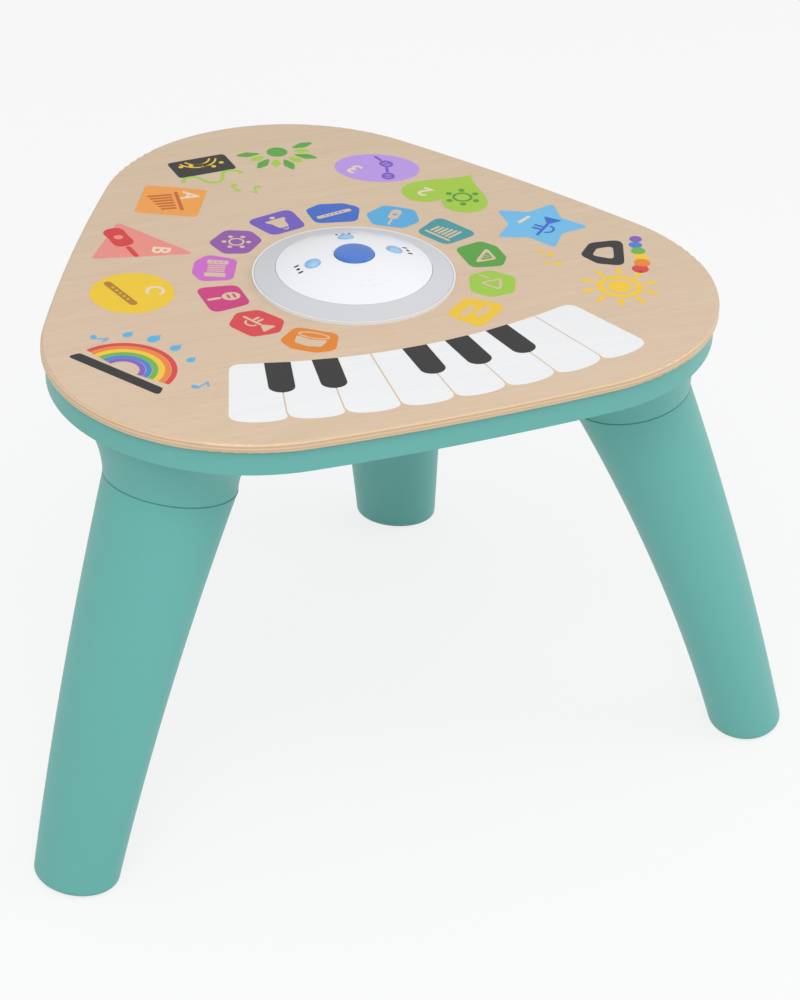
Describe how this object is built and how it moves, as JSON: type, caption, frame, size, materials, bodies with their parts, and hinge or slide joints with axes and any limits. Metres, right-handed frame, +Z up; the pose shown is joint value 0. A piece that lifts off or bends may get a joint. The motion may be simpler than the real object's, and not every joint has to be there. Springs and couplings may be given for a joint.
{
  "type": "musical activity table",
  "caption": "Low rounded-triangle activity table with a plywood top, printed keyboard and icons, a domed light and sound module, and moulded legs.",
  "frame": {"origin": "on the floor under the middle of the table's bounding box", "axes": "+Z up; -Y is the keyboard side; +X to the right of a child at the keyboard"},
  "size_m": [0.6006, 0.4752, 0.3786],
  "materials": {
    "wood_top": "clear lacquered birch plywood with printed graphics",
    "sensor_film": "polyester sensor film",
    "teal_plastic": "satin moulded plastic",
    "pad_rubber": "soft anti-slip rubber",
    "white_plastic": "smooth moulded plastic",
    "grey_plastic": "moulded plastic",
    "frosted_grey": "frosted translucent plastic",
    "blue_lens": "glossy translucent plastic",
    "blue_plastic": "smooth moulded plastic",
    "black_plastic": "moulded plastic",
    "circuit_board": "glass fibre board with solder mask",
    "steel": "zinc plated steel",
    "led_white": "light emitting diode housing",
    "cell_jacket": "plain cell jacket",
    "speaker_paper": "pressed paper",
    "magnet": "ferrite",
    "ribbon_white": "flat ribbon cable"
  },
  "bodies": {
    "table": {"tabletop_panel": "wood_top", "touch_sensor_film": "sensor_film", "underbody_shell": "teal_plastic", "leg_front_left": "teal_plastic", "leg_front_right": "teal_plastic", "leg_rear": "teal_plastic", "foot_pad_front_left": "pad_rubber", "foot_pad_front_right": "pad_rubber", "foot_pad_rear": "pad_rubber", "module_bezel": "white_plastic", "bezel_clamp_ring": "grey_plastic", "light_ring": "frosted_grey", "dome_cover": "white_plastic", "indicator_lens_left": "blue_lens", "indicator_lens_back": "blue_lens", "indicator_lens_right": "blue_lens", "mode_switch": "black_plastic", "light_board": "circuit_board", "light_board_screws": "steel", "ring_leds": "led_white", "indicator_leds": "led_white", "bottom_cover": "teal_plastic", "battery_tray": "black_plastic", "battery_cell_1": "cell_jacket", "battery_cell_2": "cell_jacket", "battery_cell_3": "cell_jacket", "battery_contacts": "steel", "speaker_frame": "steel", "speaker_cone": "speaker_paper", "speaker_magnet": "magnet", "speaker_clips": "grey_plastic", "main_board": "circuit_board", "main_board_screws": "steel", "sound_chip": "black_plastic", "board_components": "black_plastic", "volume_switch": "steel", "language_switch": "steel", "light_ribbon": "ribbon_white", "ribbon_sockets": "white_plastic", "bezel_screws": "steel", "tabletop_screws": "steel", "bottom_cover_screws": "steel", "leg_lock_screws": "steel"},
    "mode_button": {"mode_button": "blue_plastic", "mode_switch_plunger": "grey_plastic"},
    "volume_slider": {"volume_slider": "white_plastic"},
    "language_slider": {"language_slider": "white_plastic"},
    "battery_door": {"battery_door": "teal_plastic"},
    "door_screw": {"battery_door_screw": "steel"}
  },
  "joints": [
    {"name": "mode_button_press", "type": "slide", "parent": "table", "child": "mode_button", "axis": [0, 0, -1], "range_m": [0, 0.0016], "stiffness_N_per_m": 900, "springref_m": -0.0012},
    {"name": "volume_slide", "type": "slide", "parent": "table", "child": "volume_slider", "axis": [0, 1, 0], "range_m": [-0.004, 0.004]},
    {"name": "language_slide", "type": "slide", "parent": "table", "child": "language_slider", "axis": [0, 1, 0], "range_m": [-0.004, 0.004]},
    {"name": "battery_door_lift", "type": "slide", "parent": "table", "child": "battery_door", "axis": [0, 0, -1], "range_m": [0, 0.04]},
    {"name": "door_screw_turn", "type": "hinge", "parent": "battery_door", "child": "door_screw", "pos_m": [0.021, -0.01037, 0.314], "axis": [0, 0, 1], "range_deg": [0, 1080]}
  ]
}
